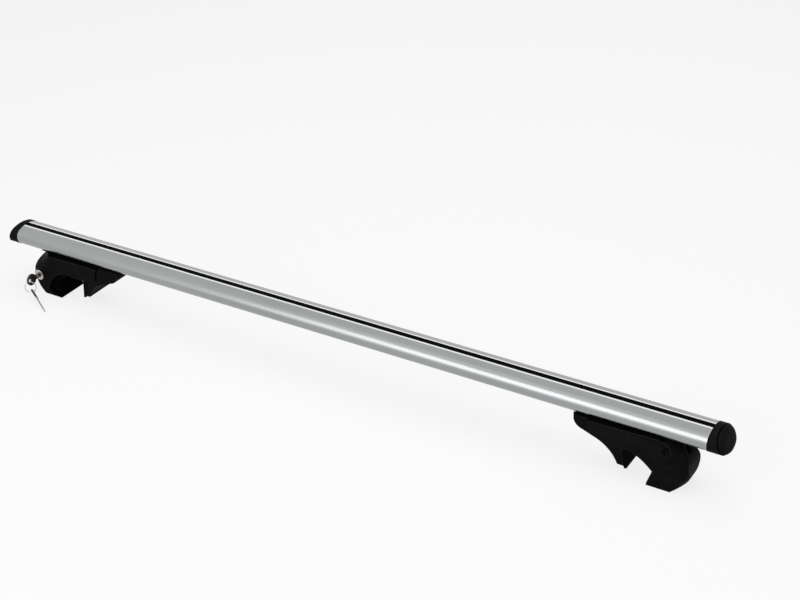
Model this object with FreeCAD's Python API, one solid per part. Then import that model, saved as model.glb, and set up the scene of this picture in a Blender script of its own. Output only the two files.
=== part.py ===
"""Roof rack crossbar for raised rails: an oval slotted bar on two lockable clamp feet, in millimetres.

The frame: +X runs along the bar, +Z is up, and the origin is the centre of the bar's section at mid-length.
The right foot is modelled where it stands, with its lock on +Y. The left foot is the same foot turned
half a turn about Z, so its lock faces -Y. Places along a foot are measured outward from its hook tip.
"""
import FreeCAD, Part
import math
import os

V = FreeCAD.Vector

# Bar
BAR_LENGTH = 1160.0
BAR_WIDTH = 50.0
BAR_HEIGHT = 31.0
BAR_SIDE_RADIUS = 13.0
BAR_WALL = 2.2
SLOT_MOUTH = 8.0
SLOT_LIP = 2.4
CHANNEL_WIDTH = 15.0
CHANNEL_DEPTH = 6.5
WEB = 2.0
LIP_ROUND = 0.5

# Top strip
STRIP_GAP = 0.3
STRIP_PROUD = 0.3
STRIP_FLANGE = 1.6
STRIP_FLANGE_THICK = 1.0
STRIP_END_GAP = 1.0

# End caps: the collar's end leans out at the bottom, and a low cushion stands on it
CAP_TOP = 9.5
CAP_BOTTOM = 22.0
CAP_PROUD = 0.4
CAP_CUSHION = 6.0
CAP_CUSHION_STEPS = ((0.0, 0.955), (0.3, 0.94), (0.62, 0.87), (0.85, 0.74), (0.96, 0.55), (1.0, 0.3))
CAP_PLUG_LENGTH = 20.0
CAP_PLUG_GAP = 0.25
CAP_PLUG_WALL = 2.4

# Feet on the bar
HOOK_TIP_FROM_END = 78.0
FOOT_WIDTH = 52.0
FOOT_BOTTOM = -88.0
RIDGE_Z = -15.0
RIDGE_INSET = 4.5
RIDGE_RISE = 6.0
BAR_GAP = 0.3
PAD_THICK = 1.2
SLIDER_BAR_GAP = 1.0

# Housing, outward from the hook tip
WALL_END = -87.0
WALL_END_LEAN = 10.0
WALL_FOOT_Z = -35.0
WALL_KNEE = -52.0
WALL_LOW_Z = -42.0
BLOCK_START = -25.0
WALL_THICK = 2.7
NOSE_END = 56.0
NOSE_TOP_Z = -4.0
EDGE_ROUND = 2.0

# Plan of the nose at each height: where the side starts to turn in, the end face and its half width
NOSE_PLAN = (
    (-2.0, 6.0, 31.0, 3.0),
    (-18.0, 14.0, 35.5, 4.0),
    (-36.0, 27.0, 51.0, 13.0),
    (-54.0, 45.0, 55.5, 19.0),
    (-72.0, 45.0, 53.2, 9.5),
    (-88.0, 32.0, 38.0, 7.5),
    (-98.0, 18.0, 24.0, 6.0),
)
NOSE_BEND = 0.28
NOSE_ROUND = 0.3

# Rail seat and its rubber insert
SEAT_START = (-25.5, -41.0)
SEAT_MIDDLE = (-8.0, -50.5)
SEAT_CORNER = (8.0, -64.0)
SEAT_TIP_Z = -86.5
INSERT_CROWN = (5.0, -49.0)
INSERT_BACK = (24.0, -76.5)
INSERT_HEEL = (17.0, -85.5)
INSERT_PROUD = 1.0
INSERT_SET_BACK = 6.0
INSERT_GAP = 0.05
SEAT_RIBS = 5
SEAT_RIB_DEPTH = 0.8

# Jaw slider, inward from the top of its jaw face
JAW_REST_RIGHT = -32.0
JAW_REST_LEFT = -51.0
SLIDER_GAP = 0.3
SLIDER_LENGTH = 72.0
SLIDER_BELLY = ((-62.0, -32.0), (-38.0, -41.0), (-19.0, -54.5), (-9.0, -70.5))
TAIL_LOW_Z = -20.0
JAW_TOP_Z = -40.0
JAW_LOW_Z = -72.0
JAW_LEAN = 4.0
JAW_PAD_THICK = 3.5
JAW_PAD_DROP = 2.0
JAW_GROOVE = 2.4
JAW_GROOVE_DEPTH = 3.0
PAD_RIB = 5.0
PAD_RIB_DEPTH = 1.5
SLIDER_RIB_GAP = 0.3
SLIDER_RIB_HEAD = 3.6
SLIDER_POCKET_WALL = 3.2
SLIDER_BOSS = 8.0

# Clamp screw, its nut, washer and clip
SCREW_Z = -31.0
SCREW_R = 3.0
SCREW_LENGTH = 104.0
SCREW_HEAD_R = 5.0
SCREW_HEAD = 6.0
HEX_KEY = 5.0
HEX_DEPTH = 3.5
NUT_FLATS = 10.0
NUT_THICK = 5.0
NUT_BACK = 6.0
RUNNING = 0.06
SCREW_CLEAR = 1.2
WASHER_R = 6.2
WASHER_THICK = 1.2
WASHER_PLAY = 0.05
CLIP_R = 5.5
CLIP_THICK = 1.0
CLIP_GROOVE_R = 2.4
CLIP_GAP = 0.3
MOUTH_HEIGHT = 10.0
MOUTH_ROUND = 2.0
MOUTH_REACH = 14.0

# Hanger in the bar's lower channel, and the side screws that hold the housing to it
HANGER_START = 8.0
HANGER_END = 30.0
SADDLE_OVER = 2.5
HANGER_HALF = 11.0
HANGER_LOW_Z = -37.0
HANGER_HEAD_OVER = 14.0
HANGER_HEAD = 3.8
HANGER_GAP = 0.3
POCKET_GAP = 0.15
SIDE_SCREW_AT = 24.5
SIDE_SCREW_Z = -28.0
SIDE_SCREW_R = 2.5
SIDE_HEAD_R = 4.5
SIDE_HEAD = 2.8
SIDE_HEAD_DEEP = 1.2
SIDE_SCREW_TIP = 6.0

# Lock
LOCK_AT = 41.5
LOCK_Z = -55.5
LOCK_FLANGE_R = 8.7
LOCK_BOSS_R = 9.6
LOCK_BOSS_IN = 10.0
LOCK_FLANGE = 1.2
LOCK_BODY_R = 7.7
LOCK_DEPTH = 28.5
PLUG_R = 5.4
PLUG_FACE_DEEP = 0.3
CAM_THICK = 2.0
CAM_HALF = 3.6
CAM_HEAD_GAP = 0.4
CAM_ROOM = 0.4
KEYWAY = (2.3, 7.0)

# Keys and ring
KEY_THICK = 2.0
KEY_BOW_R = 9.5
KEY_BOW_THICK = 3.0
KEY_BOW_ROUND = 0.6
KEY_BLADE = 6.6
KEY_NECK = 8.5
KEY_NECK_WIDTH = 7.4
KEY_HOLE_R = 3.0
KEY_HOLE_IN = 5.2
KEY_IN_LOCK = 26.5
KEY_CUTS = (1.2, 2.0, 0.8, 1.6, 1.0)
RING_R = 8.8
RING_WIRE_R = 0.6
RING_SEAT = 0.4
RING_LEAN = 78.0
RING_YAW = 33.0
SPARE_ON_RING = 158.0
SPARE_OFF_WIRE = 1.8
SPARE_WAY = (44.0, -23.0)
SPARE_SHADOW = (-0.47, -0.81, -0.35)
FLOOR_GAP = 0.1

# Values that follow from those above
END_X = BAR_LENGTH / 2
HOOK_TIP_X = END_X - HOOK_TIP_FROM_END
HALF_H = BAR_HEIGHT / 2
HALF_W = BAR_WIDTH / 2
SIDE_Y = HALF_W - BAR_SIDE_RADIUS
CROWN_RADIUS = (SIDE_Y ** 2 + HALF_H ** 2 - BAR_SIDE_RADIUS ** 2) / (2 * (HALF_H - BAR_SIDE_RADIUS))
CHANNEL_TOP = HALF_H - SLOT_LIP
CHANNEL_FLOOR = CHANNEL_TOP - CHANNEL_DEPTH
CHANNEL_HALF = CHANNEL_WIDTH / 2
LIP_EDGE_Z = HALF_H - CROWN_RADIUS + math.sqrt(CROWN_RADIUS ** 2 - (SLOT_MOUTH / 2) ** 2)
FOOT_HALF = FOOT_WIDTH / 2
CAVITY_HALF = FOOT_HALF - WALL_THICK
CRADLE_GAP = BAR_GAP + PAD_THICK
SLIDER_HALF = CAVITY_HALF - SLIDER_GAP
SCREW_HEAD_X = HANGER_END + WASHER_THICK + WASHER_PLAY
LOCK_IN_Y = FOOT_HALF - LOCK_DEPTH
CAM_REACH = SCREW_Z - SCREW_HEAD_R - CAM_HEAD_GAP - LOCK_Z
KEY_LENGTH = KEY_IN_LOCK + KEY_NECK + 2 * KEY_BOW_R - KEY_HOLE_IN
KEY_HOLE_Y = FOOT_HALF - KEY_IN_LOCK + KEY_LENGTH
RING_OFFSET = KEY_HOLE_R - RING_WIRE_R - RING_SEAT
LEFT_TURN = FreeCAD.Placement(V(0, 0, 0), FreeCAD.Rotation(V(0, 0, 1), 180))


def box(x0, x1, y0, y1, z0, z1):
    """A box between two corners."""
    return Part.makeBox(x1 - x0, y1 - y0, z1 - z0, V(x0, y0, z0))


def both_sides(shape):
    """A shape and its mirror image across the plane Y = 0."""
    return [shape, shape.mirror(V(0, 0, 0), V(0, 1, 0))]


def rod(radius, start, end):
    """A cylinder from one centre point to another."""
    along = V(*end) - V(*start)
    return Part.makeCylinder(radius, along.Length, V(*start), along)


def side_outline(path, y0, y1):
    """A solid whose X and Z outline is a path of points and three-point arcs, from y0 to y1.

    A path entry is (x, z) for a straight edge, or ((x, z), (x, z)) for an arc through a point to an end.
    """
    edges = []
    here = V(path[0][0], y0, path[0][1])
    start = here
    for entry in path[1:]:
        if isinstance(entry[0], tuple):
            through = V(entry[0][0], y0, entry[0][1])
            there = V(entry[1][0], y0, entry[1][1])
            edges.append(Part.Arc(here, through, there).toShape())
        else:
            there = V(entry[0], y0, entry[1])
            edges.append(Part.LineSegment(here, there).toShape())
        here = there
    if here.distanceToPoint(start) > 1e-6:
        edges.append(Part.LineSegment(here, start).toShape())
    return Part.Face(Part.Wire(edges)).extrude(V(0, y1 - y0, 0))


def outward(path):
    """A foot's path moved from the hook tip's own scale to the bar's."""
    moved = []
    for entry in path:
        if isinstance(entry[0], tuple):
            moved.append(tuple((HOOK_TIP_X + x, z) for x, z in entry))
        else:
            moved.append((HOOK_TIP_X + entry[0], entry[1]))
    return moved


def oval_wire(x, grow, scale=1.0):
    """The bar's oval of four tangent arcs at one X, grown outward by a gap, then scaled."""
    crown = CROWN_RADIUS + grow
    side = BAR_SIDE_RADIUS + grow
    crown_z = HALF_H - CROWN_RADIUS
    turn = math.atan2(SIDE_Y, -crown_z)
    knee = (crown * math.sin(turn), crown_z + crown * math.cos(turn))
    top = V(x, 0, (crown_z + crown) * scale)
    right = V(x, (SIDE_Y + side) * scale, 0)
    signs = ((1, 1), (1, -1), (-1, -1), (-1, 1))
    corners = [V(x, sy * knee[0] * scale, sz * knee[1] * scale) for sy, sz in signs]
    arcs = [
        Part.Arc(corners[3], top, corners[0]),
        Part.Arc(corners[0], right, corners[1]),
        Part.Arc(corners[1], V(x, 0, -top.z), corners[2]),
        Part.Arc(corners[2], V(x, -right.y, 0), corners[3]),
    ]
    return Part.Wire([arc.toShape() for arc in arcs])


def oval_bar(x0, x1, grow):
    """A solid oval prism along X."""
    return Part.Face(oval_wire(x0, grow)).extrude(V(x1 - x0, 0, 0))


def slot_space(x0, x1, up):
    """The space of one T slot: its mouth and its channel, on the top if up is 1 and below if it is -1."""
    mouth = box(x0, x1, -SLOT_MOUTH / 2, SLOT_MOUTH / 2, CHANNEL_TOP - 1, HALF_H + 2)
    channel = box(x0, x1, -CHANNEL_HALF, CHANNEL_HALF, CHANNEL_FLOOR, CHANNEL_TOP)
    space = mouth.fuse(channel).removeSplitter()
    return space if up > 0 else space.mirror(V(0, 0, 0), V(0, 0, 1))


def side_cell(x0, x1, shrink):
    """The hollow beside the channels on +Y, made smaller all round by a gap."""
    inner = oval_bar(x0, x1, -BAR_WALL - shrink)
    return inner.common(box(x0, x1, CHANNEL_HALF + WEB + shrink, HALF_W, -HALF_H, HALF_H))


def bar_extrusion():
    """The aluminium bar: an oval with a T slot above and below and hollows beside them."""
    bar = oval_bar(-END_X, END_X, 0)
    cuts = [slot_space(-END_X - 1, END_X + 1, 1), slot_space(-END_X - 1, END_X + 1, -1)]
    cuts += both_sides(side_cell(-END_X - 1, END_X + 1, 0))
    middle = CHANNEL_FLOOR - WEB
    cuts.append(box(-END_X - 1, END_X + 1, -CHANNEL_HALF, CHANNEL_HALF, -middle, middle))
    bar = bar.cut(Part.makeCompound(cuts))
    lips = [e for e in bar.Edges if is_lip_edge(e)]
    return bar.makeFillet(LIP_ROUND, lips)


def is_lip_edge(edge):
    """Whether an edge is one of the four outer edges along the slots' mouths."""
    box_ = edge.BoundBox
    at_mouth = abs(abs(box_.YMin) - SLOT_MOUTH / 2) < 1e-3 and box_.YLength < 1e-3
    return box_.XLength > BAR_LENGTH / 2 and at_mouth and abs(abs(box_.ZMin) - LIP_EDGE_Z) < 1e-3


def top_strip():
    """The rubber strip that closes the upper slot: a flat tread with a flange under the lips."""
    reach = END_X - STRIP_END_GAP
    half = SLOT_MOUTH / 2 - STRIP_GAP
    low = CHANNEL_TOP - STRIP_GAP
    tread = box(-reach, reach, -half, half, low - STRIP_FLANGE_THICK, LIP_EDGE_Z + STRIP_PROUD)
    wide = SLOT_MOUTH / 2 + STRIP_FLANGE
    flange = box(-reach, reach, -wide, wide, low - STRIP_FLANGE_THICK, low)
    foot_z = CHANNEL_FLOOR + STRIP_GAP
    legs = [box(-reach, reach, s * half - 0.6, s * half + 0.6, foot_z, low - 0.2) for s in (-0.7, 0.7)]
    return tread.fuse([flange] + legs).removeSplitter()


def end_cap():
    """The moulded cap of the +X end: a collar cut on a slant, a low cushion on it and two hollow plugs."""
    half = HALF_H + CAP_PROUD
    middle = END_X + (CAP_TOP + CAP_BOTTOM) / 2
    lean = (CAP_BOTTOM - CAP_TOP) / (2 * half)
    side = [(END_X, half + 1), (middle - lean * (half + 1), half + 1),
            (middle + lean * (half + 1), -half - 1), (END_X, -half - 1)]
    collar = oval_bar(END_X, END_X + 2 * CAP_BOTTOM, CAP_PROUD)
    collar = collar.common(side_outline(side, -HALF_W - 1, HALF_W + 1))
    wires = [oval_wire(CAP_CUSHION * height, CAP_PROUD, scale) for height, scale in CAP_CUSHION_STEPS]
    cushion = Part.makeLoft(wires, True)
    shear = FreeCAD.Matrix(1, 0, -lean, middle, 0, 1, 0, 0, 0, 0, 1, 0, 0, 0, 0, 1)
    cushion = cushion.transformGeometry(shear)
    plugs = both_sides(side_cell(END_X - CAP_PLUG_LENGTH, END_X + 1, CAP_PLUG_GAP))
    cap = collar.fuse([cushion] + plugs)
    hollow_end = END_X + CAP_TOP - 2 * CAP_PLUG_WALL
    hollows = both_sides(side_cell(END_X - CAP_PLUG_LENGTH - 1, hollow_end, CAP_PLUG_GAP + CAP_PLUG_WALL))
    return cap.cut(Part.makeCompound(hollows))


def foot_section(x0, x1, half, ridge):
    """The foot's cross-section along X: upright sides and a bevel at the ridge."""
    inset = RIDGE_INSET if ridge else 0
    top = RIDGE_Z + RIDGE_RISE
    points = [(-half, FOOT_BOTTOM), (half, FOOT_BOTTOM), (half, RIDGE_Z), (half - inset, top),
              (inset - half, top), (-half, RIDGE_Z), (-half, FOOT_BOTTOM)]
    wire = Part.makePolygon([V(x0, y, z) for y, z in points])
    return Part.Face(wire).extrude(V(x1 - x0, 0, 0))


def housing_outline():
    """The housing's side outline with the rail seat, before its width is shaped."""
    back = INSERT_PROUD
    return outward([
        (WALL_END, NOSE_TOP_Z),
        (WALL_END + WALL_END_LEAN, WALL_FOOT_Z),
        (WALL_KNEE, WALL_LOW_Z),
        (SEAT_START[0] - 1, WALL_LOW_Z),
        SEAT_START,
        ((SEAT_MIDDLE[0], SEAT_MIDDLE[1] + back), (SEAT_CORNER[0] + back, SEAT_CORNER[1])),
        (back, SEAT_TIP_Z),
        (back, FOOT_BOTTOM),
        (NOSE_END + 1, FOOT_BOTTOM),
        (NOSE_END + 1, NOSE_TOP_Z),
    ])


def housing_side():
    """The housing's side outline as a solid, with its lower rims softened."""
    body = side_outline(housing_outline(), -FOOT_HALF, FOOT_HALF)
    rims = [e for e in body.Edges if is_lower_rim(e)]
    return body.makeFillet(EDGE_ROUND, rims)


def is_lower_rim(edge):
    """Whether an edge lies on a side face and on the bottom of the nose."""
    b = edge.BoundBox
    on_side = b.YLength < 1e-3 and abs(abs(b.YMin) - FOOT_HALF) < 1e-3
    return on_side and b.XMin > HOOK_TIP_X and b.ZMax < FOOT_BOTTOM + 1e-3 and b.XMax > HOOK_TIP_X + 12


def insert_path(gap):
    """The outline of the rubber insert's pocket, made larger by a gap at its back."""
    return outward([
        (SEAT_START[0], SEAT_START[1] + 1.2 + gap),
        ((INSERT_CROWN[0], INSERT_CROWN[1] + gap), (INSERT_BACK[0] + gap, INSERT_BACK[1])),
        (INSERT_HEEL[0], INSERT_HEEL[1] - gap),
        (0, SEAT_TIP_Z - gap),
    ])


def nose_plan():
    """The housing's plan, narrowing to its end face: a loft of plans from the top of the nose down."""
    wires = []
    for z, turn, end, end_half in NOSE_PLAN:
        inner = HOOK_TIP_X + WALL_END - 5
        outer = HOOK_TIP_X + end
        start = HOOK_TIP_X + turn
        bend = start + (outer - start) * NOSE_BEND
        turn_half = end_half + (FOOT_HALF - end_half) * NOSE_ROUND
        poles = [(start, FOOT_HALF), (bend, FOOT_HALF), (outer, turn_half), (outer, end_half)]
        far = Part.BezierCurve()
        far.setPoles([V(x, y, z) for x, y in poles])
        near = Part.BezierCurve()
        near.setPoles([V(x, -y, z) for x, y in reversed(poles)])
        edges = [
            Part.LineSegment(V(inner, FOOT_HALF, z), V(start, FOOT_HALF, z)).toShape(),
            far.toShape(),
            Part.LineSegment(V(outer, end_half, z), V(outer, -end_half, z)).toShape(),
            near.toShape(),
            Part.LineSegment(V(start, -FOOT_HALF, z), V(inner, -FOOT_HALF, z)).toShape(),
            Part.LineSegment(V(inner, -FOOT_HALF, z), V(inner, FOOT_HALF, z)).toShape(),
        ]
        wires.append(Part.Wire(edges))
    return Part.makeLoft(wires, True)


def housing():
    """The moulded foot housing: side walls round the slider, hook, nose, cradle and every pocket."""
    tip = HOOK_TIP_X
    body = housing_side()
    body = body.common(foot_section(tip + WALL_END - 1, tip + NOSE_END + 1, FOOT_HALF, True))
    body = body.common(nose_plan())
    x = tip + LOCK_AT
    body = body.fuse(rod(LOCK_BOSS_R, (x, LOCK_BOSS_IN, LOCK_Z), (x, FOOT_HALF, LOCK_Z)))
    cuts = [oval_bar(tip + WALL_END - 2, tip + NOSE_END + 2, CRADLE_GAP)]
    cuts.append(box(tip + WALL_END - 2, tip + BLOCK_START, -CAVITY_HALF, CAVITY_HALF, FOOT_BOTTOM - 1, 0))
    cuts.append(side_outline(insert_path(INSERT_GAP), -CAVITY_HALF, FOOT_HALF + 1))
    cuts += screw_room()
    cuts += hanger_room()
    cuts += lock_room()
    return body.cut(cuts)


def screw_room():
    """The clamp screw's bore, its clip's groove, its head's recess and the mouth in the end face."""
    tip = HOOK_TIP_X
    bore = rod(SCREW_R + SCREW_CLEAR, (tip + BLOCK_START - 1, 0, SCREW_Z), (tip + HANGER_START, 0, SCREW_Z))
    clip = rod(CLIP_R + 0.6, (tip + HANGER_START - 2.5, 0, SCREW_Z), (tip + HANGER_START, 0, SCREW_Z))
    head_end = tip + SCREW_HEAD_X + SCREW_HEAD
    recess = rod(WASHER_R + 0.5, (tip + HANGER_END, 0, SCREW_Z), (head_end + 3, 0, SCREW_Z))
    r = MOUTH_HEIGHT / 2
    mouth = box(head_end + 1, tip + NOSE_END + 2, r - MOUTH_REACH, r, SCREW_Z - r, SCREW_Z + r)
    mouth = mouth.makeFillet(MOUTH_ROUND, [e for e in mouth.Edges if e.BoundBox.XLength > 1])
    return [bore, clip, recess, mouth]


def hanger_room():
    """The pocket for the hanger's lug and the two side screws' holes."""
    tip = HOOK_TIP_X
    g = POCKET_GAP
    half = HANGER_HALF + g
    room = [box(tip + HANGER_START - g, tip + HANGER_END + g, -half, half, HANGER_LOW_Z - g, 0)]
    at = (tip + SIDE_SCREW_AT, SIDE_SCREW_Z)
    for s in (-1, 1):
        seat = s * (FOOT_HALF - SIDE_HEAD_DEEP - SIDE_HEAD)
        room.append(rod(SIDE_SCREW_R + 0.2, (at[0], 0, at[1]), (at[0], seat, at[1])))
        room.append(rod(SIDE_HEAD_R + 0.3, (at[0], seat, at[1]), (at[0], s * (FOOT_HALF + 2), at[1])))
    return room


def lock_room():
    """The lock barrel's bore and the quarter turn of room for its cam."""
    x = HOOK_TIP_X + LOCK_AT
    inner = LOCK_IN_Y - CAM_THICK - 2 * CAM_ROOM
    bore = rod(LOCK_BODY_R + INSERT_GAP, (x, LOCK_IN_Y, LOCK_Z), (x, FOOT_HALF + 2, LOCK_Z))
    disc = rod(CAM_REACH + CAM_ROOM, (x, inner, LOCK_Z), (x, LOCK_IN_Y + 0.1, LOCK_Z))
    side = PLUG_R + CAM_ROOM
    top = LOCK_Z + CAM_REACH + 2
    quarter = box(x - CAM_REACH - 2, x + side, inner, LOCK_IN_Y + 0.1, LOCK_Z - side, top)
    return [bore, disc.common(quarter)]


def saddle_pad():
    """The thin rubber pad between the housing's cradle and the bar, open over the hanger."""
    tip = HOOK_TIP_X
    x0 = tip + BLOCK_START + 1
    x1 = tip + HANGER_END + SADDLE_OVER
    shell = oval_bar(x0, x1, CRADLE_GAP - INSERT_GAP).cut(oval_bar(x0 - 1, x1 + 1, BAR_GAP))
    keep = box(x0, x1, -HALF_W + 5, HALF_W - 5, -HALF_H - 5, -3)
    room = box(tip + HANGER_START - HANGER_HEAD_OVER - 1, tip + HANGER_END + HANGER_HEAD_OVER + 1,
               -HANGER_HALF - 1, HANGER_HALF + 1, -HALF_H - 5, 0)
    ends = shell.common(keep).common(box(x0, x1, -HALF_W, HALF_W, -HALF_H - 5, -6))
    return ends.cut(room)


def rail_insert():
    """The rubber block in the hook: a round back in the housing and a ribbed seat for the rail."""
    path = insert_path(-INSERT_GAP)
    seat_end = (HOOK_TIP_X + SEAT_CORNER[0], SEAT_CORNER[1])
    middle = (HOOK_TIP_X + SEAT_MIDDLE[0], SEAT_MIDDLE[1])
    start = (HOOK_TIP_X + SEAT_START[0], SEAT_START[1])
    path = path + [seat_end, (middle, start)]
    y0 = -CAVITY_HALF + INSERT_GAP
    y1 = FOOT_HALF - INSERT_SET_BACK
    block = side_outline(path, y0, y1)
    grooves = []
    for i in range(SEAT_RIBS):
        share = (i + 0.5) / SEAT_RIBS
        x = seat_end[0] + (HOOK_TIP_X - seat_end[0]) * share
        z = seat_end[1] + (SEAT_TIP_Z - seat_end[1]) * share
        grooves.append(rod(SEAT_RIB_DEPTH, (x, y0 - 1, z), (x, y1 + 1, z)))
    return block.cut(grooves)


def jaw_line(z, back=0.0):
    """X of the leaning jaw face at a height, from the top of the jaw face, moved back by a distance."""
    return JAW_LEAN * (JAW_TOP_Z - z) / (JAW_TOP_Z - JAW_LOW_Z) - back


def slider_outline(jaw_x):
    """The slider's side outline: a rounded tail, a curved belly and the seat of the pad."""
    b = SLIDER_BELLY
    path = [
        (-SLIDER_LENGTH, NOSE_TOP_Z),
        (-SLIDER_LENGTH, TAIL_LOW_Z),
        ((-SLIDER_LENGTH + 3.0, TAIL_LOW_Z - 7.0), b[0]),
        b[1],
        (b[2], b[3]),
        (jaw_line(JAW_LOW_Z + 1, JAW_PAD_THICK), JAW_LOW_Z + 1),
        (jaw_line(JAW_TOP_Z, JAW_PAD_THICK), JAW_TOP_Z),
        (0, JAW_TOP_Z),
        (0, NOSE_TOP_Z),
    ]
    shifted = []
    for entry in path:
        if isinstance(entry[0], tuple):
            shifted.append(tuple((HOOK_TIP_X + jaw_x + x, z) for x, z in entry))
        else:
            shifted.append((HOOK_TIP_X + jaw_x + entry[0], entry[1]))
    return shifted


def jaw_slider(jaw_x):
    """The moulded slider: cradle, T rib in the bar's channel, screw bore, nut pocket and hollows below."""
    x = HOOK_TIP_X + jaw_x
    tail = x - SLIDER_LENGTH
    body = side_outline(slider_outline(jaw_x), -SLIDER_HALF, SLIDER_HALF)
    body = body.cut(oval_bar(tail - 1, x + 1, SLIDER_BAR_GAP))
    body = body.common(box(tail - 1, x + 10, -HALF_W, HALF_W, FOOT_BOTTOM, -6))
    rib_low = -HALF_H - SLIDER_BAR_GAP - 1
    rib_half = SLOT_MOUTH / 2 - SLIDER_RIB_GAP
    head_half = CHANNEL_HALF - 2 * SLIDER_RIB_GAP
    under = -CHANNEL_TOP + SLIDER_RIB_GAP
    neck = box(tail + 6, x - 6, -rib_half, rib_half, rib_low, under + 1)
    head = box(tail + 6, x - 6, -head_half, head_half, under, under + SLIDER_RIB_HEAD)
    body = body.fuse([neck, head])
    cuts = [rod(SCREW_R + SCREW_CLEAR, (x - 45, 0, SCREW_Z), (x + 5, 0, SCREW_Z))]
    cuts.append(hex_prism(NUT_FLATS, x - NUT_BACK - NUT_THICK, NUT_THICK, SCREW_Z))
    cuts += slider_pockets(x)
    cuts += jaw_groove(x)
    cuts.append(pad_rib(x, INSERT_GAP))
    return body.cut(cuts)


def slider_pockets(x):
    """The hollows that the mould leaves under the tail, beside the screw's boss."""
    pockets = []
    outer = SLIDER_HALF - SLIDER_POCKET_WALL
    for x0, x1 in ((x - SLIDER_LENGTH + 6, x - 48), (x - 45, x - 27)):
        pocket = box(x0, x1, SLIDER_BOSS, outer, FOOT_BOTTOM, -18.5)
        pockets += both_sides(pocket)
    return pockets


def jaw_groove(x):
    """The upright groove on the lock's side of the slider just behind the pad's seat."""
    z0 = JAW_LOW_Z - 2
    z1 = JAW_TOP_Z - 2
    back = JAW_PAD_THICK + 1.2
    path = [
        (x + jaw_line(z0, back), z0),
        (x + jaw_line(z1, back), z1),
        (x + jaw_line(z1, back + JAW_GROOVE), z1),
        (x + jaw_line(z0, back + JAW_GROOVE), z0),
    ]
    inner = SLIDER_HALF - JAW_GROOVE_DEPTH
    return [side_outline(path, inner, SLIDER_HALF + 1)]


def pad_rib(x, gap):
    """The upright rib on the pad's back that keys it into the slider, grown by a gap."""
    z0 = JAW_LOW_Z - 1
    z1 = JAW_TOP_Z - 4 + gap
    path = [
        (x + jaw_line(z0, JAW_PAD_THICK - 1), z0),
        (x + jaw_line(z1, JAW_PAD_THICK - 1), z1),
        (x + jaw_line(z1, JAW_PAD_THICK + PAD_RIB_DEPTH + gap), z1),
        (x + jaw_line(z0, JAW_PAD_THICK + PAD_RIB_DEPTH + gap), z0),
    ]
    return side_outline(path, -PAD_RIB / 2 - gap, PAD_RIB / 2 + gap)


def jaw_pad(jaw_x):
    """The rubber pad on the jaw: a leaning plate with rounded lower edge and a rib at its back."""
    x = HOOK_TIP_X + jaw_x
    low = JAW_LOW_Z - JAW_PAD_DROP
    path = [
        (x + jaw_line(JAW_TOP_Z), JAW_TOP_Z - INSERT_GAP),
        (x + jaw_line(JAW_TOP_Z, JAW_PAD_THICK - INSERT_GAP), JAW_TOP_Z - INSERT_GAP),
        (x + jaw_line(low, JAW_PAD_THICK - INSERT_GAP), low),
        (x + jaw_line(low), low),
    ]
    plate = side_outline(path, -SLIDER_HALF, SLIDER_HALF)
    return plate.fuse(pad_rib(x, 0)).removeSplitter()


def hex_prism(flats, x0, length, z):
    """A hexagonal prism along X, across its flats, standing on a flat."""
    r = flats / math.sqrt(3)
    turns = [math.radians(60 * i) for i in range(7)]
    points = [V(x0, r * math.cos(turn), z + r * math.sin(turn)) for turn in turns]
    return Part.Face(Part.makePolygon(points)).extrude(V(length, 0, 0))


def clamp_screw():
    """The long socket screw that draws the jaw in, with a groove for its clip."""
    x = HOOK_TIP_X + SCREW_HEAD_X
    tip = x - SCREW_LENGTH
    shank = rod(SCREW_R, (tip, 0, SCREW_Z), (x, 0, SCREW_Z))
    shank = shank.makeChamfer(0.8, [e for e in shank.Edges if abs(e.BoundBox.XMax - tip) < 1e-3])
    head = rod(SCREW_HEAD_R, (x, 0, SCREW_Z), (x + SCREW_HEAD, 0, SCREW_Z))
    head = head.makeFillet(0.6, [e for e in head.Edges if abs(e.BoundBox.XMin - (x + SCREW_HEAD)) < 1e-3])
    groove_x = HOOK_TIP_X + HANGER_START - CLIP_GAP - CLIP_THICK
    groove = rod(SCREW_R + 1, (groove_x, 0, SCREW_Z), (groove_x + CLIP_THICK, 0, SCREW_Z))
    core = rod(CLIP_GROOVE_R, (groove_x - 1, 0, SCREW_Z), (groove_x + CLIP_THICK + 1, 0, SCREW_Z))
    groove = groove.cut(core)
    socket = hex_prism(HEX_KEY, x + SCREW_HEAD - HEX_DEPTH, HEX_DEPTH + 1, SCREW_Z)
    return shank.fuse(head).cut([groove, socket]).removeSplitter()


def clamp_washer():
    """The plain washer between the screw's head and the hanger."""
    x = HOOK_TIP_X + SCREW_HEAD_X - WASHER_THICK
    disc = rod(WASHER_R, (x, 0, SCREW_Z), (x + WASHER_THICK, 0, SCREW_Z))
    return disc.cut(rod(SCREW_R + 0.2, (x - 1, 0, SCREW_Z), (x + WASHER_THICK + 1, 0, SCREW_Z)))


def screw_clip():
    """The open ring that snaps into the screw's groove and holds it in the hanger."""
    x = HOOK_TIP_X + HANGER_START - CLIP_GAP - CLIP_THICK
    disc = rod(CLIP_R, (x, 0, SCREW_Z), (x + CLIP_THICK, 0, SCREW_Z))
    hole = rod(CLIP_GROOVE_R, (x - 1, 0, SCREW_Z), (x + CLIP_THICK + 1, 0, SCREW_Z))
    gap = box(x - 1, x + CLIP_THICK + 1, -1.6, 1.6, SCREW_Z - CLIP_R - 1, SCREW_Z)
    return disc.cut([hole, gap])


def clamp_nut(jaw_x):
    """The hexagonal nut moulded into the slider."""
    x = HOOK_TIP_X + jaw_x - NUT_BACK - NUT_THICK
    nut = hex_prism(NUT_FLATS, x, NUT_THICK, SCREW_Z)
    return nut.cut(rod(SCREW_R + RUNNING, (x - 1, 0, SCREW_Z), (x + NUT_THICK + 1, 0, SCREW_Z)))


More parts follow.
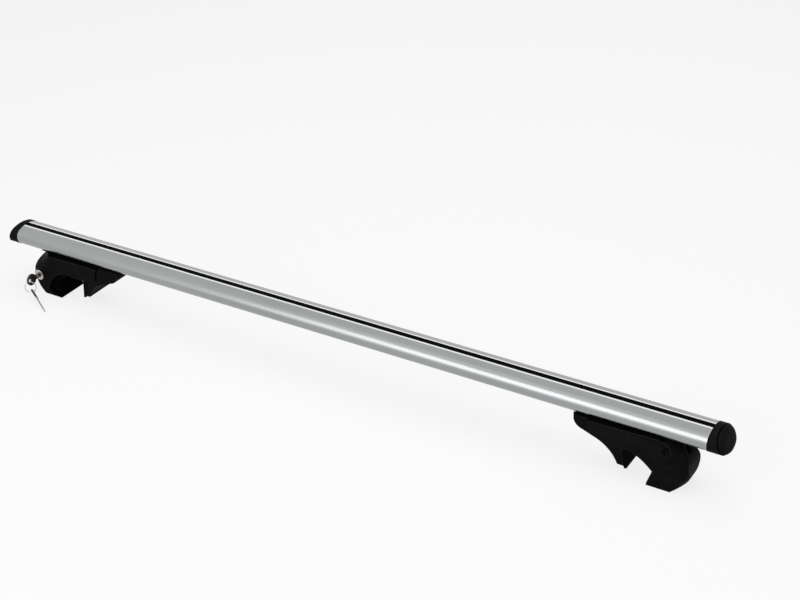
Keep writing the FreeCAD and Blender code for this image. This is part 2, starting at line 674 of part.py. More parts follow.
def hanger():
    """The metal hanger: a T head in the bar's channel, a neck and a lug that carries the screw."""
    x0 = HOOK_TIP_X + HANGER_START
    x1 = HOOK_TIP_X + HANGER_END
    neck_half = SLOT_MOUTH / 2 - HANGER_GAP
    head_half = CHANNEL_HALF - 2 * HANGER_GAP
    under = -CHANNEL_TOP + HANGER_GAP
    lug_top = -HALF_H - CRADLE_GAP - HANGER_GAP
    lug = box(x0, x1, -HANGER_HALF, HANGER_HALF, HANGER_LOW_Z, lug_top)
    neck = box(x0, x1, -neck_half, neck_half, lug_top - 1, under + 1)
    over = HANGER_HEAD_OVER
    head = box(x0 - over, x1 + over, -head_half, head_half, under, under + HANGER_HEAD)
    body = lug.fuse([neck, head]).removeSplitter()
    cuts = [rod(SCREW_R + RUNNING, (x0 - 1, 0, SCREW_Z), (x1 + 1, 0, SCREW_Z))]
    at = HOOK_TIP_X + SIDE_SCREW_AT
    for s in (-1, 1):
        cuts.append(rod(SIDE_SCREW_R, (at, s * (SIDE_SCREW_TIP - 0.5), SIDE_SCREW_Z),
                        (at, s * (HANGER_HALF + 1), SIDE_SCREW_Z)))
    return body.cut(cuts)


def side_screws():
    """The two short screws that hold the housing to the hanger, one from each side."""
    at = HOOK_TIP_X + SIDE_SCREW_AT
    seat = FOOT_HALF - SIDE_HEAD_DEEP - SIDE_HEAD
    top = seat + SIDE_HEAD
    shank = rod(SIDE_SCREW_R, (at, SIDE_SCREW_TIP, SIDE_SCREW_Z), (at, seat, SIDE_SCREW_Z))
    head = rod(SIDE_HEAD_R, (at, seat, SIDE_SCREW_Z), (at, top, SIDE_SCREW_Z))
    head = head.makeFillet(0.8, [e for e in head.Edges if abs(e.BoundBox.YMin - top) < 1e-3])
    arms = [box(at - 2.6, at + 2.6, top - 1.6, top + 1, SIDE_SCREW_Z - 0.6, SIDE_SCREW_Z + 0.6),
            box(at - 0.6, at + 0.6, top - 1.6, top + 1, SIDE_SCREW_Z - 2.6, SIDE_SCREW_Z + 2.6)]
    screw = shank.fuse(head).cut(arms).removeSplitter()
    return Part.makeCompound(both_sides(screw))


def lock_barrel():
    """The lock's fixed barrel with its round flange on the side of the foot."""
    x = HOOK_TIP_X + LOCK_AT
    body = rod(LOCK_BODY_R, (x, LOCK_IN_Y, LOCK_Z), (x, FOOT_HALF, LOCK_Z))
    top = FOOT_HALF + LOCK_FLANGE
    flange = rod(LOCK_FLANGE_R, (x, FOOT_HALF, LOCK_Z), (x, top, LOCK_Z))
    flange = flange.makeFillet(0.5, [e for e in flange.Edges if abs(e.BoundBox.YMin - top) < 1e-3])
    bore = rod(PLUG_R + RUNNING, (x, LOCK_IN_Y - 1, LOCK_Z), (x, top + 1, LOCK_Z))
    return body.fuse(flange).cut(bore).removeSplitter()


def lock_plug():
    """The turning plug with its keyway and a square end for the cam."""
    x = HOOK_TIP_X + LOCK_AT
    face = FOOT_HALF + LOCK_FLANGE - PLUG_FACE_DEEP
    plug = rod(PLUG_R, (x, LOCK_IN_Y - CAM_ROOM / 2, LOCK_Z), (x, face, LOCK_Z))
    end = LOCK_IN_Y - CAM_ROOM / 2 - CAM_THICK
    square = box(x - 2.5, x + 2.5, end, LOCK_IN_Y + 1, LOCK_Z - 2.5, LOCK_Z + 2.5)
    w, h = KEYWAY[0] / 2, KEYWAY[1] / 2
    way = box(x - w, x + w, FOOT_HALF - KEY_IN_LOCK - 0.5, face + 1, LOCK_Z - h, LOCK_Z + h)
    return plug.fuse(square).cut(way).removeSplitter()


def lock_cam():
    """The flat cam on the plug's end. It turns up under the screw's head when the lock closes."""
    x = HOOK_TIP_X + LOCK_AT
    y1 = LOCK_IN_Y - CAM_ROOM / 2
    y0 = y1 - CAM_THICK
    hub = rod(CAM_HALF + 1, (x, y0, LOCK_Z), (x, y1, LOCK_Z))
    arm = box(x - CAM_REACH - 1, x, y0, y1, LOCK_Z - CAM_HALF, LOCK_Z + CAM_HALF)
    tip = rod(CAM_REACH, (x, y0 - 1, LOCK_Z), (x, y1 + 1, LOCK_Z))
    hole = box(x - 2.5, x + 2.5, y0 - 1, y1 + 1, LOCK_Z - 2.5, LOCK_Z + 2.5)
    return hub.fuse(arm.common(tip)).cut(hole).removeSplitter()


def flat_key():
    """A key lying flat: its hole at the origin, its blade along +X and its cuts on +Y."""
    t = KEY_THICK / 2
    half = KEY_BLADE / 2
    bow_x = KEY_BOW_R - KEY_HOLE_IN
    bow = Part.makeCylinder(KEY_BOW_R, KEY_BOW_THICK, V(bow_x, 0, -KEY_BOW_THICK / 2))
    bow = bow.cut(Part.makeCylinder(KEY_HOLE_R, KEY_BOW_THICK + 2, V(0, 0, -KEY_BOW_THICK / 2 - 1)))
    bow = bow.makeFillet(KEY_BOW_ROUND, [e for e in bow.Edges if e.BoundBox.ZLength < 1e-3])
    shoulder = KEY_LENGTH - KEY_IN_LOCK
    neck = box(bow_x, shoulder - 2, -KEY_NECK_WIDTH / 2, KEY_NECK_WIDTH / 2, -t, t)
    blade = box(bow_x, KEY_LENGTH, -half, half, -t, t)
    ends = [e for e in blade.Edges if e.BoundBox.XMin > KEY_LENGTH - 0.1 and e.BoundBox.ZLength > 1]
    blade = blade.makeChamfer(2.0, ends)
    cuts = []
    step = (KEY_IN_LOCK - 4) / len(KEY_CUTS)
    for i, depth in enumerate(KEY_CUTS):
        x = shoulder + 2 + step * i
        cuts.append(box(x, x + step * 0.5, half - depth, half + 2, -t - 1, t + 1))
    groove = box(shoulder - 4, KEY_LENGTH + 1, -1.1, 0.1, t - 0.5, t + 1)
    return bow.fuse([neck, blade]).cut(cuts + [groove]).removeSplitter()


def placed(shape, origin, along, across):
    """A shape moved so that its X runs along one direction, its Y across, and its origin to a point."""
    up = along.cross(across)
    matrix = FreeCAD.Matrix(along.x, across.x, up.x, origin.x, along.y, across.y, up.y, origin.y,
                            along.z, across.z, up.z, origin.z, 0, 0, 0, 1)
    shape.Placement = FreeCAD.Placement(matrix)
    return shape


def lock_key():
    """The key in the lock, upright, its cuts upwards."""
    return placed(flat_key(), V(HOOK_TIP_X + LOCK_AT, KEY_HOLE_Y, LOCK_Z), V(0, -1, 0), V(0, 0, 1))


def ring_frame():
    """The ring's centre on the left foot, and its two in-plane directions: level and up its lean."""
    lean = math.radians(RING_LEAN)
    yaw = math.radians(RING_YAW)
    along = V(math.cos(yaw), math.sin(yaw), 0)
    up = V(-math.sin(yaw) * math.cos(lean), math.cos(yaw) * math.cos(lean), math.sin(lean))
    top = V(-(HOOK_TIP_X + LOCK_AT), -KEY_HOLE_Y, LOCK_Z - RING_OFFSET)
    return top - up * RING_R, along, up


def key_ring():
    """The wire ring through the key's hole."""
    centre, along, up = ring_frame()
    return Part.makeTorus(RING_R, RING_WIRE_R, centre, along.cross(up))


def spare_key():
    """The spare key on the ring, leaning with its tip on the floor."""
    centre, along, up = ring_frame()
    turn = math.radians(SPARE_ON_RING)
    wire = centre + up * (RING_R * math.cos(turn)) + along * (RING_R * math.sin(turn))
    flat_way = V(SPARE_WAY[0], SPARE_WAY[1], 0)
    flat_way.normalize()
    reach = KEY_LENGTH + SPARE_OFF_WIRE
    drop = wire.z - (FOOT_BOTTOM + FLOOR_GAP)
    for _ in range(8):
        way = flat_way * math.sqrt(reach ** 2 - drop ** 2) - V(0, 0, drop)
        way.normalize()
        shadow = V(*SPARE_SHADOW)
        normal = shadow - way * way.dot(shadow)
        normal.normalize()
        across = normal.cross(way)
        edge = (KEY_BLADE / 2 - 2.0) * abs(across.z) + KEY_THICK / 2 * abs(normal.z)
        side = KEY_BLADE / 2 * abs(across.z) + KEY_THICK / 2 * abs(normal.z) - 2.0 * abs(way.z)
        drop = wire.z - (FOOT_BOTTOM + FLOOR_GAP) - max(edge, side)
    return placed(flat_key(), wire + way * SPARE_OFF_WIRE, way, across)


def foot(side, jaw_x):
    """Every node of one foot by its name, modelled on the right and turned for the left."""
    pieces = {
        "housing": housing(),
        "saddle_pad": saddle_pad(),
        "rail_insert": rail_insert(),
        "hanger": hanger(),
        "side_screws": side_screws(),
        "jaw_slider": jaw_slider(jaw_x),
        "jaw_pad": jaw_pad(jaw_x),
        "clamp_nut": clamp_nut(jaw_x),
        "clamp_screw": clamp_screw(),
        "clamp_washer": clamp_washer(),
        "screw_clip": screw_clip(),
        "lock_barrel": lock_barrel(),
        "lock_plug": lock_plug(),
        "lock_cam": lock_cam(),
    }
    if side == "left":
        pieces["lock_key"] = lock_key()
        for shape in pieces.values():
            shape.Placement = LEFT_TURN.multiply(shape.Placement)
    return {side + "_" + name: shape for name, shape in pieces.items()}


def build():
    """Every node of the crossbar by its name."""
    cap = end_cap()
    other = cap.copy()
    other.Placement = LEFT_TURN
    nodes = {
        "bar_extrusion": bar_extrusion(),
        "top_strip": top_strip(),
        "right_end_cap": cap,
        "left_end_cap": other,
    }
    nodes.update(foot("left", JAW_REST_LEFT))
    nodes.update(foot("right", JAW_REST_RIGHT))
    nodes["key_ring"] = key_ring()
    nodes["spare_key"] = spare_key()
    return nodes


def main():
    """Writes each node to its own STEP file."""
    os.makedirs("parts", exist_ok=True)
    for name, shape in build().items():
        shape.exportStep("parts/" + name + ".step")
        print(name, len(shape.Solids), "solids,", shape.isValid(), round(shape.Volume / 1000, 2), "cm3")


main()
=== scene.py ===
"""Looks of the roof rack crossbar: finishes for its CAD nodes, moulded trim, studio and camera."""

import logging
import math
from dataclasses import dataclass
from enum import Enum

import bmesh
import bpy
from mathutils import Matrix, Vector


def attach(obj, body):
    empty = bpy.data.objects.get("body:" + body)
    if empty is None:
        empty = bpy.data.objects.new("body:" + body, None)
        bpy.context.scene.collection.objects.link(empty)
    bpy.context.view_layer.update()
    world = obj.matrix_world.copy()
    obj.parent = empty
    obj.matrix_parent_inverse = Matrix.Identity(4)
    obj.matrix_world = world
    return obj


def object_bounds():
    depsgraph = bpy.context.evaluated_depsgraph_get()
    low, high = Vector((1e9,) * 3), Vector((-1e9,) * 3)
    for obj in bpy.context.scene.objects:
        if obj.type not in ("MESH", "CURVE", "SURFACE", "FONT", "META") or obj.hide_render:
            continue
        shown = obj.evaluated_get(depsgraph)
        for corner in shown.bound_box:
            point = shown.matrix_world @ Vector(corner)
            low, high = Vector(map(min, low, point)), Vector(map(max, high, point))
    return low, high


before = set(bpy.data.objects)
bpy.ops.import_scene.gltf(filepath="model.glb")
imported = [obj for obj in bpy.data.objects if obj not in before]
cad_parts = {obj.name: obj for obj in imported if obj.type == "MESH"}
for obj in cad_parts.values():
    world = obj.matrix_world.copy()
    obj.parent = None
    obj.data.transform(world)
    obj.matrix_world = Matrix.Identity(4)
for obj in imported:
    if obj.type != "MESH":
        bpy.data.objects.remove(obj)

LOG = logging.getLogger("crossbar")
CAD_BOX = [list(map(float, corner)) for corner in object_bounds()]

Colour = tuple[float, float, float]
Point = tuple[float, float, float]
Span = tuple[float, float]
Course = tuple[tuple[float, float, float], ...]

WHITE = (1.0, 1.0, 1.0, 1.0)
# Near-black painted shade: for closed-in places, the tops under the bar and the groove round the
# cap.
PAINTED_SHADE_TONE = (0.0004, 0.0004, 0.0004)
ALL_AXES = (1.0, 1.0, 1.0)
ROUND_Y = (1.0, 0.0, 1.0)
NOISE_MIDDLE = 0.5
MIX_FIRST, MIX_SECOND, MIX_RESULT = 6, 7, 2
CLOUD_RANGE = (0.35, 0.7)
PLATING_SCALE = 220.0
MARK_DEPTH = 0.000006
SMALL_EDGE = 0.0003
ROUNDING_SAMPLES = 4
SURFACE_SAMPLES = 6
SHARP_ANGLE = math.radians(40)
BEAD_SIDES = 3
BEAD_STEPS = 8
BEAD_ORDER = 3
RIM_WIDTH = 0.0004
RIM_SEGMENTS = 2
RIM_ANGLE = math.radians(50)


class Side(Enum):
    """The two ends of the bar, with the sign of their X."""

    LEFT = -1
    RIGHT = 1

    @property
    def word(self) -> str:
        """The word that the names of this side's nodes start with."""
        return self.name.lower()


class Way(Enum):
    """The direction in which a finish's marks run, as features per metre on each axis."""

    ALONG_BAR = (3.0, 900.0, 900.0)
    ALONG_SCREW = (60.0, 900.0, 900.0)
    ALONG_FACE = (700.0, 700.0, 30.0)
    ANY = (400.0, 400.0, 400.0)


class Layers(Enum):
    """How many finer layers a noise has."""

    FEW = 2.0
    SOME = 3.0
    MANY = 4.0


@dataclass(frozen=True)
class Link:
    """A node's output socket that takes part in Python expressions on values."""

    graph: "Graph"
    socket: bpy.types.NodeSocket | None

    def _math(self, operation: str, first: object, second: object) -> "Link":
        """Adds one Math node.

        Args:
            operation: the node's operation.
            first: the value or link of its first socket.
            second: the value or link of its second socket.

        Returns:
            The node's output.
        """
        return self.graph.add("ShaderNodeMath", {"operation": operation}, {0: first, 1: second})

    def __add__(self, other: object) -> "Link":
        """This value plus another."""
        return self._math("ADD", self, other)

    def __radd__(self, other: object) -> "Link":
        """Another value plus this one."""
        return self._math("ADD", other, self)

    def __sub__(self, other: object) -> "Link":
        """This value less another."""
        return self._math("SUBTRACT", self, other)

    def __rsub__(self, other: object) -> "Link":
        """Another value less this one."""
        return self._math("SUBTRACT", other, self)

    def __mul__(self, other: object) -> "Link":
        """This value times another."""
        return self._math("MULTIPLY", self, other)

    def __rmul__(self, other: object) -> "Link":
        """Another value times this one."""
        return self._math("MULTIPLY", other, self)

    def __truediv__(self, other: object) -> "Link":
        """This value divided by another."""
        return self._math("DIVIDE", self, other)

    def __rtruediv__(self, other: object) -> "Link":
        """Another value divided by this one."""
        return self._math("DIVIDE", other, self)

    def __or__(self, other: object) -> "Link":
        """The larger of this value and another."""
        return self._math("MAXIMUM", self, other)

    def __ror__(self, other: object) -> "Link":
        """The larger of another value and this one."""
        return self._math("MAXIMUM", other, self)

    def __abs__(self) -> "Link":
        """The size of this value."""
        return self.graph.add("ShaderNodeMath", {"operation": "ABSOLUTE"}, {0: self})

    def sway(self, spread: float) -> "Link":
        """This noise as a swing about 0, scaled by a spread."""
        return (self - NOISE_MIDDLE) * spread

    def between(self, low: float, high: float) -> "Link":
        """Maps this value smoothly from 0 at low to 1 at high.

        Args:
            low: the value that gives 0, which may be the larger of the two.
            high: the value that gives 1.

        Returns:
            The mapped value, kept from 0 to 1.
        """
        settings = {"interpolation_type": "SMOOTHSTEP"}
        sockets = {"Value": self, "From Min": low, "From Max": high, "To Min": 0.0, "To Max": 1.0}
        return self.graph.add("ShaderNodeMapRange", settings, sockets)


class Graph:
    """The node tree of one material or world."""

    def __init__(self, tree: bpy.types.NodeTree) -> None:
        """Empties the tree.

        Args:
            tree: the node tree to fill.
        """
        self.tree = tree
        tree.nodes.clear()

    def add(self, kind: str, settings: dict | None = None, sockets: dict | None = None,
            output: int | str = 0) -> Link:
        """Adds a node, sets it and fills its sockets.

        Args:
            kind: the node's type.
            settings: its properties.
            sockets: a value or link for each input, by name or number.
            output: the output to hand back.

        Returns:
            The link of that output, or an empty one where the node has none.
        """
        node = self.tree.nodes.new(kind)
        for name, value in (settings or {}).items():
            setattr(node, name, value)
        for name, value in (sockets or {}).items():
            if isinstance(value, Link):
                self.tree.links.new(value.socket, node.inputs[name])
            else:
                node.inputs[name].default_value = value
        return Link(self, node.outputs[output] if len(node.outputs) else None)

    def vector(self, operation: str, first: object, second: object,
               output: int | str = 0) -> Link:
        """Adds one Vector Math node.

        Args:
            operation: the node's operation.
            first: the vector or link of its first socket.
            second: the vector or link of its second socket.
            output: the output to hand back.

        Returns:
            The link of that output.
        """
        return self.add("ShaderNodeVectorMath", {"operation": operation}, {0: first, 1: second},
                        output)

    def place(self) -> Link:
        """The point on the piece, in metres, in its own frame."""
        return self.add("ShaderNodeTexCoord", output="Object")

    def along(self, axis: str) -> Link:
        """One coordinate of the point on the piece, in metres.

        Args:
            axis: X, Y or Z.

        Returns:
            The coordinate.
        """
        return self.add("ShaderNodeSeparateXYZ", {}, {"Vector": self.place()}, axis)

    def distance(self, centre: Point, axes: Point) -> Link:
        """The distance of the point on the piece from a centre, along chosen axes.

        Args:
            centre: the centre, in metres.
            axes: 1 for each axis that counts and 0 for the others.

        Returns:
            The distance, in metres.
        """
        offset = self.vector("SUBTRACT", self.place(), centre)
        flat = self.vector("MULTIPLY", offset, axes)
        length = {"operation": "LENGTH"}
        return self.add("ShaderNodeVectorMath", length, {0: flat}, "Value")

    def noise(self, scale: Point | float, layers: Layers, roughness: float = 0.55) -> Link:
        """Noise over the piece.

        Args:
            scale: features per metre, for all axes or for each one.
            layers: how many finer layers it has.
            roughness: the weight of the finer layers.

        Returns:
            The noise, near 0.5.
        """
        axes = scale if isinstance(scale, tuple) else (scale, scale, scale)
        stretched = self.vector("MULTIPLY", self.place(), axes)
        return self.plain_noise(stretched, layers, roughness)

    def plain_noise(self, place: Link, layers: Layers, roughness: float = 0.5) -> Link:
        """Noise at a place that is already scaled.

        Args:
            place: the place, one feature per unit.
            layers: how many finer layers it has.
            roughness: the weight of the finer layers.

        Returns:
            The noise, near 0.5.
        """
        sockets = {"Vector": place, "Scale": 1.0, "Detail": layers.value, "Roughness": roughness}
        return self.add("ShaderNodeTexNoise", {}, sockets, "Fac")

    def mix(self, share: object, first: object, second: object) -> Link:
        """Blends two colours.

        Args:
            share: how much of the second colour shows.
            first: a colour or its link.
            second: a colour or its link.

        Returns:
            The blended colour.
        """
        colours = [value if isinstance(value, Link) else (*value, 1.0)
                   for value in (first, second)]
        sockets = {0: share, MIX_FIRST: colours[0], MIX_SECOND: colours[1]}
        return self.add("ShaderNodeMix", {"data_type": "RGBA"}, sockets, MIX_RESULT)

    def bump(self, height: Link, depth: float, edge: float = 0.0) -> Link:
        """Turns a height into a surface normal, with the piece's edges rounded.

        Args:
            height: the height, near 0 to 1.
            depth: the depth of that range, in metres.
            edge: the radius of the rounded edges, in metres.

        Returns:
            The normal.
        """
        sockets = {"Strength": 1.0, "Distance": depth, "Height": height}
        if edge > 0.0:
            sockets["Normal"] = self.rounded(edge, ROUNDING_SAMPLES)
        return self.add("ShaderNodeBump", {}, sockets)

    def rounded(self, radius: float, samples: int) -> Link:
        """The surface normal with the piece's edges rounded.

        Args:
            radius: the radius of the edges, in metres.
            samples: how many samples it takes.

        Returns:
            The normal.
        """
        return self.add("ShaderNodeBevel", {"samples": samples}, {"Radius": radius})

    def openness(self, reach: float) -> Link:
        """How open the surface is to its surroundings.

        Args:
            reach: the distance at which other surfaces count, in metres.

        Returns:
            1 on an open surface, near 0 deep in a gap.
        """
        settings = {"samples": SURFACE_SAMPLES}
        return self.add("ShaderNodeAmbientOcclusion", settings, {"Distance": reach}, "AO")

    def edges(self, radius: float) -> Link:
        """Where the piece's edges are.

        Args:
            radius: how far the edges reach, in metres.

        Returns:
            0 on a plain surface, up to about 0.3 along an edge.
        """
        plain = self.add("ShaderNodeNewGeometry", output="Normal")
        return 1 - self.vector("DOT_PRODUCT", self.rounded(radius, SURFACE_SAMPLES), plain, "Value")


def new_graph(name: str) -> tuple[bpy.types.Material, Graph]:
    """Makes an empty material.

    Args:
        name: the material's name.

    Returns:
        The material and its graph.
    """
    material = bpy.data.materials.new(name)
    material.use_nodes = True
    return material, Graph(material.node_tree)


@dataclass(frozen=True)
class Finish:
    """A procedural material for CAD nodes and trim.

    Lengths are in metres. A scale is in features per metre. A range is the pair of values
    between which a mask goes from 0 to 1.
    """

    name: str

    def sockets(self, graph: Graph) -> dict[str, object]:
        """Adds the nodes that feed the shader.

        Args:
            graph: the material's graph.

        Returns:
            The value or link of each of the shader's inputs that is set.
        """
        raise NotImplementedError

    def build(self) -> bpy.types.Material:
        """Makes the material.

        Returns:
            The material, with one Principled shader.
        """
        material, graph = new_graph(self.name)
        shader = graph.add("ShaderNodeBsdfPrincipled", {}, self.sockets(graph))
        graph.add("ShaderNodeOutputMaterial", {}, {"Surface": shader})
        return material


@dataclass(frozen=True)
class Aluminium(Finish):
    """Satin anodised aluminium with the die's fine lines, and painted highlights along the top
    slot's edges and at the bar's ends.
    """

    tone: Colour = (0.365, 0.38, 0.38)
    line_tone: Colour = (0.315, 0.33, 0.328)
    # The painted highlight's pale tone, for the top slot's edges and the bar's ends.
    painted_highlight_tone: Colour = (0.84, 0.85, 0.85)
    line_scale: Point = (1.2, 1400.0, 1400.0)
    broad_scale: Point = (3.0, 60.0, 60.0)
    cloud_scale: float = 9.0
    line_share: float = 0.5
    broad_share: float = 0.3
    cloud_share: float = 0.2
    broad_height: float = 2.0
    tone_range: Span = (0.3, 0.7)
    lip_y: Span = (0.0076, 0.0062)
    lip_z: Span = (0.012, 0.0135)
    cut_end: Span = (0.5786, 0.5793)
    end_highlight_share: float = 0.3
    roughness: float = 0.28
    spread: float = 0.10
    line_depth: float = 0.000004

    def sockets(self, graph: Graph) -> dict[str, object]:
        """Adds the drawn lines and the painted highlights along the top slot's edges and at the
        bar's ends.

        Args:
            graph: the material's graph.

        Returns:
            The value or link of each of the shader's inputs that is set.
        """
        lines = graph.noise(self.line_scale, Layers.FEW)
        broad = graph.noise(self.broad_scale, Layers.FEW)
        cloud = graph.noise(self.cloud_scale, Layers.SOME)
        mottle = lines * self.line_share + broad * self.broad_share + cloud * self.cloud_share
        # Painted highlight: the colour turns pale along the top slot's edges and in a thin band at
        # each end of the bar.
        lip_highlight = abs(graph.along("Y")).between(*self.lip_y) * graph.along("Z").between(*self.lip_z)
        end_highlight = abs(graph.along("X")).between(*self.cut_end) * self.end_highlight_share
        drawn = graph.mix(mottle.between(*self.tone_range), self.line_tone, self.tone)
        return {
            "Base Color": graph.mix(lip_highlight | end_highlight, drawn, self.painted_highlight_tone),
            "Metallic": 1.0,
            "Roughness": mottle.sway(self.spread) + self.roughness,
            "Normal": graph.bump(lines + broad * self.broad_height, self.line_depth),
        }


@dataclass(frozen=True)
class MouldedPlastic(Finish):
    """Black moulded plastic with a grain, a faint bloom, painted edge highlights and painted shade.

    Above its lip height it is painted near-black: painted shade under the bar. The groove round the
    cap is given by its X at the bar's height and how far it leans, and its dark line is painted
    shade.
    """

    tone: Colour = (0.0044, 0.0044, 0.0044)
    bloom_tone: Colour = (0.0086, 0.0086, 0.0086)
    bloom_range: Span = (0.35, 0.75)
    flow_scale: Point = (30.0, 55.0, 55.0)
    flow_share: float = 0.7
    grain_share: float = 0.3
    roughness: float = 0.46
    spread: float = 0.16
    grain_spread: float = 0.15
    gloss: float = 0.012
    grain: float = 2400.0
    grain_depth: float = 0.00003
    edge: float = 0.0006
    # Painted highlight: a lighter tone along convex edges that stand open.
    edge_highlight_tone: Colour = (0.026, 0.026, 0.0255)
    edge_highlight_reach: float = 0.0016
    edge_highlight_range: Span = (0.015, 0.12)
    edge_highlight_open: Span = (0.6, 0.9)
    edge_highlight_share: float = 0.8
    # Painted shade in closed-in places: how far the occlusion reaches and where it turns dark.
    shade_reach: float = 0.016
    shade_range: Span = (0.25, 0.85)
    # Painted shade above the lip height, and along the groove round the cap:
    lip: float | None = None
    lip_blur: float = 0.0004
    seam: Span | None = None
    seam_width: Span = (0.0009, 0.0003)

    def painted_shade_zone(self, graph: Graph) -> Link | None:
        """The piece's painted shade: above the lip under the bar, or along the groove round the
        cap.

        Args:
            graph: the material's graph.

        Returns:
            1 in the zone and 0 elsewhere, or None where the piece has none.
        """
        if self.lip:
            return graph.along("Z").between(self.lip - self.lip_blur, self.lip + self.lip_blur)
        if self.seam:
            middle, lean = self.seam
            offset = abs(abs(graph.along("X")) + graph.along("Z") * lean - middle)
            return offset.between(*self.seam_width)
        return None

    def sockets(self, graph: Graph) -> dict[str, object]:
        """Adds the grain, the bloom, the painted edge highlights and the painted shade.

        Args:
            graph: the material's graph.

        Returns:
            The value or link of each of the shader's inputs that is set.
        """
        grain = graph.noise(self.grain, Layers.FEW)
        flow = graph.noise(self.flow_scale, Layers.MANY)
        mottle = flow * self.flow_share + grain * self.grain_share
        open_share = graph.openness(self.shade_reach)
        # Painted highlight along convex, open edges.
        highlit_edges = graph.edges(self.edge_highlight_reach).between(*self.edge_highlight_range)
        painted_edge_highlight = highlit_edges * open_share.between(*self.edge_highlight_open) * self.edge_highlight_share
        skin = graph.mix(mottle.between(*self.bloom_range), self.tone, self.bloom_tone)
        marks = self.painted_shade_zone(graph)
        if marks:
            # Painted shade over the zone, which also takes the edge highlight away there.
            skin = graph.mix(marks, skin, PAINTED_SHADE_TONE)
            painted_edge_highlight = painted_edge_highlight * (1 - marks)
        # Painted shade: the colour turns near-black where other surfaces close the point in.
        shaded = graph.mix(open_share.between(*self.shade_range), PAINTED_SHADE_TONE, skin)
        return {
            "Base Color": graph.mix(painted_edge_highlight, shaded, self.edge_highlight_tone),
            "Roughness": flow.sway(self.spread) + grain.sway(self.grain_spread) + self.roughness,
            "Specular IOR Level": self.gloss,
            "Normal": graph.bump(grain, self.grain_depth, self.edge),
        }


@dataclass(frozen=True)
class Rubber(Finish):
    """Black rubber: soft, dull, a little dusty, with painted shade in its gaps."""

    way: Way = Way.ANY
    tone: Colour = (0.0015, 0.0015, 0.0016)
    dust_tone: Colour = (0.0036, 0.0036, 0.0039)
    dust_scale: float = 45.0
    dust_range: Span = (0.4, 0.75)
    shade_reach: float = 0.03
    shade_range: Span = (0.3, 0.95)
    roughness: float = 0.68
    dust_spread: float = 0.2
    drawn_spread: float = 0.12
    gloss: float = 0.012
    grain: float = 1500.0
    grain_roughness: float = 0.65
    grain_share: float = 0.5
    drawn_share: float = 0.5
    grain_depth: float = 0.00003

    def sockets(self, graph: Graph) -> dict[str, object]:
        """Adds the grain, the marks of drawing, the dust and the painted shade in the gaps.

        Args:
            graph: the material's graph.

        Returns:
            The value or link of each of the shader's inputs that is set.
        """
        grain = graph.noise(self.grain, Layers.SOME, self.grain_roughness)
        drawn = graph.noise(self.way.value, Layers.FEW)
        dust = graph.noise(self.dust_scale, Layers.MANY)
        dusty = graph.mix(dust.between(*self.dust_range), self.tone, self.dust_tone)
        # Painted shade: near-black where other surfaces close the point in.
        open_share = graph.openness(self.shade_reach).between(*self.shade_range)
        uneven = dust.sway(self.dust_spread) + drawn.sway(self.drawn_spread)
        height = grain * self.grain_share + drawn * self.drawn_share
        return {
            "Base Color": graph.mix(open_share, PAINTED_SHADE_TONE, dusty),
            "Roughness": uneven + self.roughness,
            "Specular IOR Level": self.gloss,
            "Normal": graph.bump(height, self.grain_depth),
        }


@dataclass(frozen=True)
class PlatedMetal(Finish):
    """Plated metal with faint tool marks and a slightly cloudy plating."""

    tone: Colour
    cloud_tone: Colour
    roughness: float
    spread: float = 0.15
    way: Way = Way.ANY
    mark_share: float = 0.4
    cloud_share: float = 0.6

    def sockets(self, graph: Graph) -> dict[str, object]:
        """Adds the tool marks and the clouds of the plating.

        Args:
            graph: the material's graph.

        Returns:
            The value or link of each of the shader's inputs that is set.
        """
        marks = graph.noise(self.way.value, Layers.FEW)
        cloud = graph.noise(PLATING_SCALE, Layers.MANY)
        mottle = marks * self.mark_share + cloud * self.cloud_share
        return {
            "Base Color": graph.mix(cloud.between(*CLOUD_RANGE), self.tone, self.cloud_tone),
            "Metallic": 1.0,
            "Roughness": mottle.sway(self.spread) + self.roughness,
            "Normal": graph.bump(marks, MARK_DEPTH),
        }


@dataclass(frozen=True)
class HeadedKey(Finish):
    """A nickel key whose round head is black plastic."""

    head_centre: Point
    head_radius: float = 0.0096
    blur: float = 0.0001
    metal: Colour = (0.42, 0.415, 0.40)
    tarnish: Colour = (0.33, 0.325, 0.31)
    plastic: Colour = (0.008, 0.008, 0.0075)
    sheen: Colour = (0.018, 0.018, 0.016)
    roughness: float = 0.26
    head_dullness: float = 0.06
    spread: float = 0.12

    def sockets(self, graph: Graph) -> dict[str, object]:
        """Adds the metal, the plastic and the border between them.

        Args:
            graph: the material's graph.

        Returns:
            The value or link of each of the shader's inputs that is set.
        """
        reach = graph.distance(self.head_centre, ALL_AXES)
        head = reach.between(self.head_radius + self.blur, self.head_radius - self.blur)
        marks = graph.noise(Way.ALONG_FACE.value, Layers.FEW)
        cloud = graph.noise(PLATING_SCALE, Layers.MANY)
        blade = graph.mix(cloud.between(*CLOUD_RANGE), self.metal, self.tarnish)
        grip = graph.mix(cloud.between(*CLOUD_RANGE), self.plastic, self.sheen)
        return {
            "Base Color": graph.mix(head, blade, grip),
            "Metallic": 1 - head,
            "Roughness": cloud.sway(self.spread) + self.roughness + head * self.head_dullness,
            "Normal": graph.bump(marks, MARK_DEPTH, SMALL_EDGE),
        }


